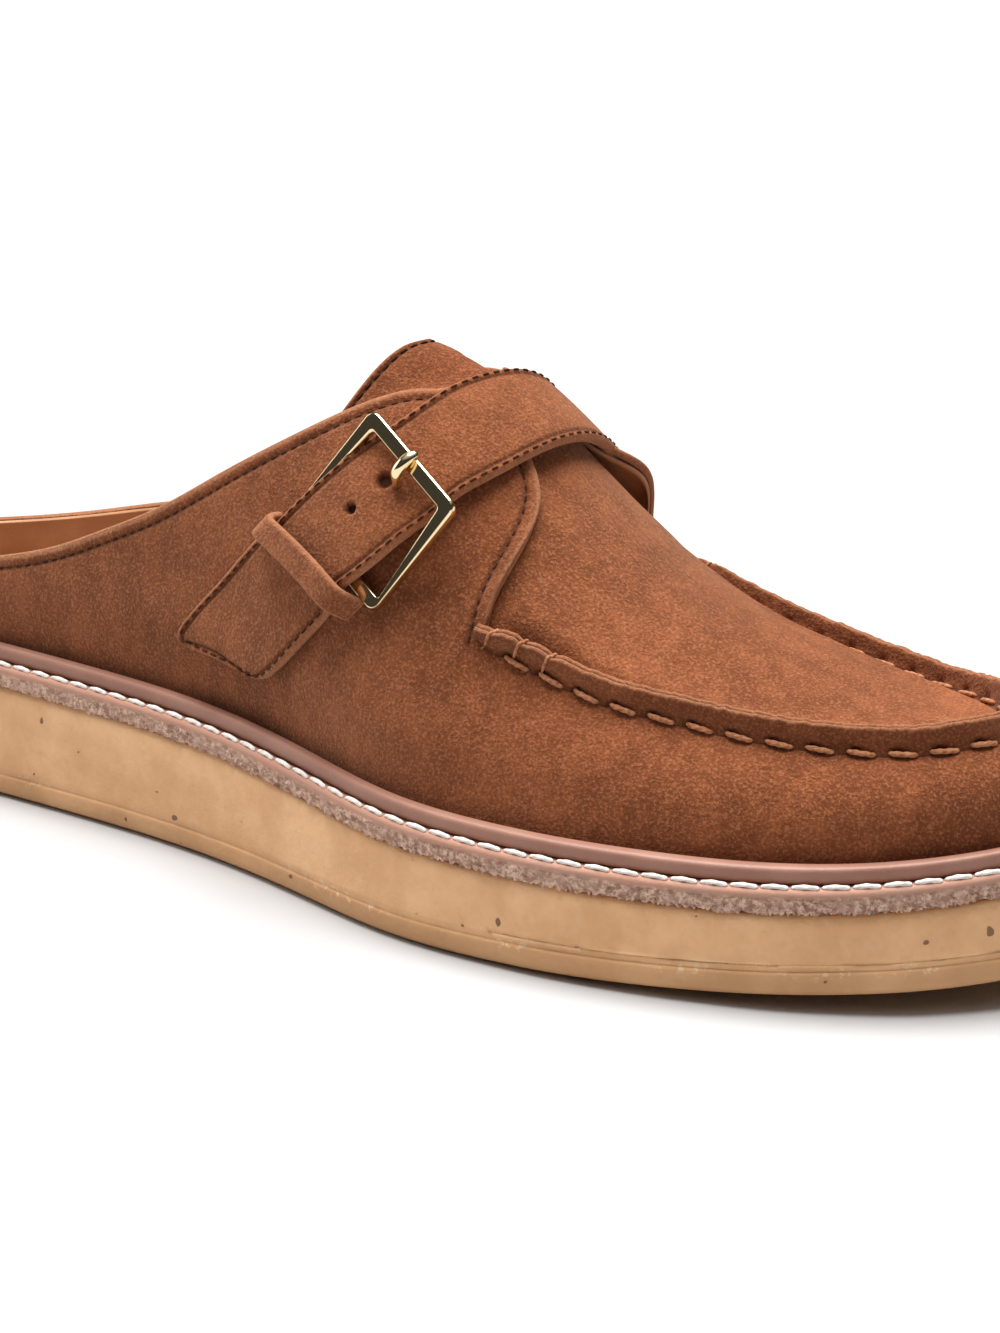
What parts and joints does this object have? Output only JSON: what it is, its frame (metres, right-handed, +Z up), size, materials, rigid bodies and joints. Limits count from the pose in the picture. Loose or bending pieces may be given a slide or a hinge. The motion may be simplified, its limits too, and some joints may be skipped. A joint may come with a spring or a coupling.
{
  "type": "mule clog",
  "caption": "Right mule clog: suede moc-toe upper, tongue and buckled strap over the instep, open low heel, leather midsole on a thick crepe sole.",
  "frame": {"origin": "middle of the outsole's outline, on the floor plane under the sole", "axes": "+X along the foot to the toe, -Y to the lateral side with the buckle, +Z up"},
  "size_m": [0.275, 0.096, 0.0949],
  "materials": {
    "crepe": "matt honey-coloured crepe, faintly mottled",
    "split_leather": "cut fibrous edge, pinkish brown, pale stitches along its top",
    "rand_leather": "smooth rolled leather, satin",
    "footbed": "smooth tan leather, satin",
    "suede": "matt suede with a short nap, tobacco brown",
    "pale_gold": "polished pale gold plating"
  },
  "bodies": {
    "root": {"outsole": "crepe", "midsole": "split_leather", "rand": "rand_leather", "insole": "footbed", "upper": "suede", "moc_ridge": "suede", "tongue": "suede", "strap": "suede", "buckle_tab": "suede", "keeper": "suede", "buckle_frame": "pale_gold", "buckle_prong": "pale_gold"}
  },
  "joints": []
}
